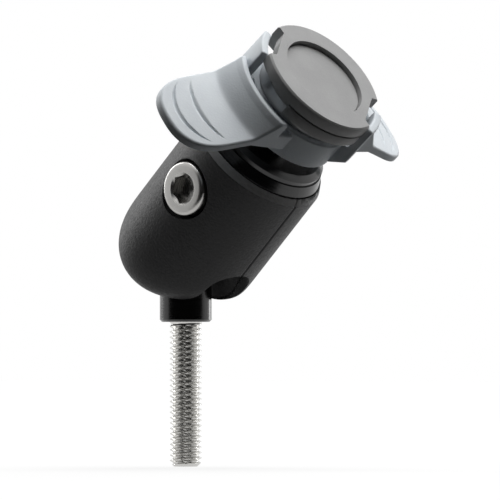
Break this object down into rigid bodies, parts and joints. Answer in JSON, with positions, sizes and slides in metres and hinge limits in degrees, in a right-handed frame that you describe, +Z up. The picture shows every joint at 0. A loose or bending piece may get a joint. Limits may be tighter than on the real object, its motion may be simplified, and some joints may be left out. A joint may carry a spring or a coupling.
{
  "type": "phone mount",
  "caption": "Black clamp-arm phone mount with a threaded stud, gripped ball joint, swivelling ball head and a round twist-lock plate inside a winged release lever.",
  "frame": {"origin": "centre of the collar's lower face, where the threaded stud comes out", "axes": "+Z up along the stud, away from its tip; the arm leans towards +X; the clamp screw's head faces -Y"},
  "size_m": [0.0514, 0.0616, 0.0815],
  "materials": {
    "stainless_screw": "turned and polished stainless steel",
    "spring_steel": "drawn spring wire",
    "black_blasted_aluminium": "bead-blasted black anodised",
    "black_turned_aluminium": "turned black anodised, semi-gloss",
    "grey_turned_aluminium": "turned, satin",
    "grey_nylon": "moulded glass-filled nylon, fine grained",
    "dark_nylon": "moulded nylon, fine grained",
    "white_acetal": "moulded, smooth",
    "black_rubber": "moulded rubber"
  },
  "bodies": {
    "stem": {"stem_screw": "stainless_screw"},
    "collar": {"ball_collar": "black_turned_aluminium"},
    "arm": {"front_half": "black_blasted_aluminium", "rear_half": "black_blasted_aluminium", "clamp_washer": "stainless_screw", "clamp_nut": "stainless_screw", "locating_pins": "stainless_screw", "opening_spring": "spring_steel", "friction_washer": "white_acetal"},
    "clamp": {"clamp_screw": "stainless_screw"},
    "swivel": {"swivel_base": "grey_turned_aluminium", "swivel_ring": "black_turned_aluminium", "rim_seal": "black_rubber", "ball_stud": "black_turned_aluminium"},
    "head": {"socket_cup": "grey_turned_aluminium", "socket_retainer": "black_turned_aluminium", "ball_pad": "white_acetal", "pad_spring": "spring_steel", "puck": "dark_nylon", "puck_screws": "stainless_screw", "centre_cap": "dark_nylon", "return_spring": "spring_steel"},
    "release": {"lever": "grey_nylon"}
  },
  "joints": [
    {"name": "mount_yaw", "type": "hinge", "parent": "stem", "child": "collar", "pos_m": [0, 0, 0], "axis": [0, 0, 1], "continuous": true},
    {"name": "arm_tilt", "type": "hinge", "parent": "collar", "child": "arm", "pos_m": [0, 0, 0.0133], "axis": [0, 1, 0], "range_deg": [-46, 42]},
    {"name": "clamp_screw_turn", "type": "hinge", "parent": "arm", "child": "clamp", "pos_m": [0.01192, 0, 0.02442], "axis": [0, -1, 0], "continuous": true},
    {"name": "head_swivel", "type": "hinge", "parent": "arm", "child": "swivel", "pos_m": [0, 0, 0.0133], "axis": [0.7314, 0, 0.682], "continuous": true},
    {"name": "head_tilt", "type": "hinge", "parent": "swivel", "child": "head", "pos_m": [0.02787, 0, 0.03928], "axis": [-0.165, 0.9703, 0.1769], "range_deg": [-10.9, 1.1]},
    {"name": "lever_press", "type": "slide", "parent": "head", "child": "release", "axis": [-0.7852, -0.0207, -0.6189], "range_m": [0, 0.0013], "stiffness_N_per_m": 1500, "springref_m": -0.0005, "deforming": ["return_spring"]}
  ]
}
